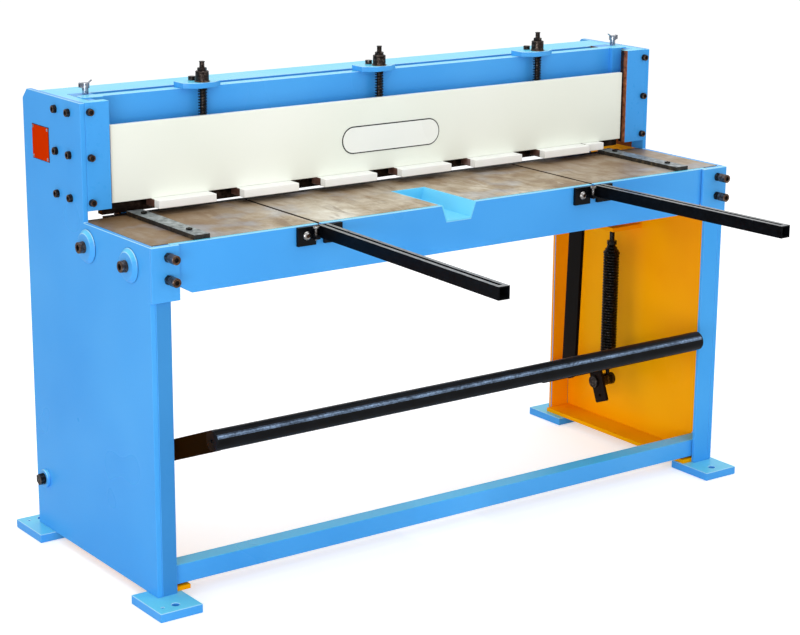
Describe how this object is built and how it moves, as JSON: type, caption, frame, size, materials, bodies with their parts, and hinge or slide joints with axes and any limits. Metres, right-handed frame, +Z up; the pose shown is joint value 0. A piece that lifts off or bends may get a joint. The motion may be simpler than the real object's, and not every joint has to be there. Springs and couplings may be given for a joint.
{
  "type": "treadle guillotine shear",
  "caption": "Foot-operated guillotine shear for sheet metal: treadle, return springs, links, raked blade, sprung hold-down beam, slotted table and splayed sheet support arms.",
  "frame": {"origin": "on the floor, at the centre of the four anchor holes in the feet", "axes": "+X to the operator's right along the blades, +Y away from the operator, +Z up"},
  "size_m": [1.669, 1.2571, 1.0963],
  "materials": {
    "frame_paint": "gloss sky-blue enamel",
    "inner_paint": "gloss amber enamel",
    "beam_white": "gloss off-white enamel",
    "table_steel": "ground, oil stained",
    "blade_steel": "ground tool steel",
    "guide_steel": "dark ground steel",
    "gib_bronze": "scraped bronze",
    "black_screws": "black oxide, oiled",
    "spring_black": "oil blackened",
    "arm_black": "gloss black enamel",
    "zinc_plate": "bright zinc plate",
    "plate_orange": "anodised, bare of text",
    "badge_plate": "blank enamelled plate with a dark rim"
  },
  "bodies": {
    "frame": {"left_side_plate": "frame_paint", "right_side_plate": "frame_paint", "leg_flanges": "frame_paint", "bottom_lips": "inner_paint", "floor_feet": "frame_paint", "front_stretcher": "frame_paint", "bed_table": "table_steel", "notch_trough": "frame_paint", "bed_apron": "frame_paint", "bed_ends": "frame_paint", "blade_bar": "frame_paint", "bed_ribs": "frame_paint", "lower_blade": "blade_steel", "lower_blade_bolts": "black_screws", "stop_plates": "frame_paint", "jack_screws": "black_screws", "lock_nuts": "black_screws", "side_bosses": "frame_paint", "side_boss_bolts": "black_screws", "rear_rail": "frame_paint", "column_screws": "black_screws", "cover_blocks": "frame_paint", "guide_bars": "guide_steel", "gib_strips": "gib_bronze", "oil_cups": "zinc_plate", "pivot_sleeves": "inner_paint", "pivot_pins": "black_screws", "spring_brackets": "inner_paint", "spring_rods": "spring_black", "return_springs": "spring_black", "support_arms": "arm_black", "arm_mounts": "arm_black", "table_screws": "black_screws", "gauge_bars": "guide_steel", "data_plate": "plate_orange"},
    "left_lid": {"left_oil_lid": "zinc_plate"},
    "right_lid": {"right_oil_lid": "zinc_plate"},
    "ram": {"ram_plate": "frame_paint", "upper_blade": "blade_steel", "ram_bolts": "black_screws", "ram_end_bars": "frame_paint", "ram_brackets": "frame_paint", "link_lugs": "frame_paint", "link_pins": "black_screws", "hold_down_springs": "spring_black"},
    "hold_down": {"hold_down_beam": "beam_white", "hold_down_pads": "beam_white", "hold_down_lugs": "beam_white", "hold_down_rods": "black_screws", "hold_down_nuts": "black_screws", "blank_badge": "badge_plate"},
    "links": {"links": "arm_black"},
    "treadle": {"treadle_arms": "arm_black", "treadle_tube": "arm_black", "treadle_caps": "arm_black", "arm_pins": "black_screws", "spring_straps": "arm_black", "strap_bolts": "black_screws", "spring_pins": "black_screws"},
    "spring_hooks": {"spring_hooks": "spring_black"}
  },
  "joints": [
    {"name": "treadle", "type": "hinge", "parent": "frame", "child": "treadle", "pos_m": [0.014, 0.246, 0.141], "axis": [1, 0, 0], "range_deg": [0, 18], "stiffness_Nm_per_rad": 400, "springref_deg": -33.52},
    {"name": "ram_slide", "type": "slide", "parent": "frame", "child": "ram", "axis": [0, 0, -1], "range_m": [0, 0.0421]},
    {"name": "hold_down_slide", "type": "slide", "parent": "ram", "child": "hold_down", "axis": [0, 0, 1], "range_m": [0, 0.0286], "deforming": ["hold_down_springs"]},
    {"name": "link_swing", "type": "hinge", "parent": "ram", "child": "links", "pos_m": [0.014, 0.097, 0.763], "axis": [1, 0, 0], "range_deg": [-1.2, 0]},
    {"name": "spring_hook_slide", "type": "slide", "parent": "frame", "child": "spring_hooks", "axis": [0, 0, -1], "range_m": [0, 0.0631], "deforming": ["return_springs"]},
    {"name": "left_lid_hinge", "type": "hinge", "parent": "frame", "child": "left_lid", "pos_m": [-0.733, 0.127, 1.0601], "axis": [0, -1, 0], "range_deg": [0, 100], "stiffness_Nm_per_rad": 0.02, "springref_deg": -17.19},
    {"name": "right_lid_hinge", "type": "hinge", "parent": "frame", "child": "right_lid", "pos_m": [0.799, 0.127, 1.0601], "axis": [0, 1, 0], "range_deg": [0, 100], "stiffness_Nm_per_rad": 0.02, "springref_deg": -17.19}
  ],
  "couplings": [
    {"joint": "ram_slide", "follows": "treadle", "m_per_rad": 0.13385},
    {"joint": "hold_down_slide", "follows": "treadle", "m_per_rad": 0.0906},
    {"joint": "link_swing", "follows": "treadle", "ratio": -0.0585},
    {"joint": "spring_hook_slide", "follows": "treadle", "m_per_rad": 0.20026}
  ]
}
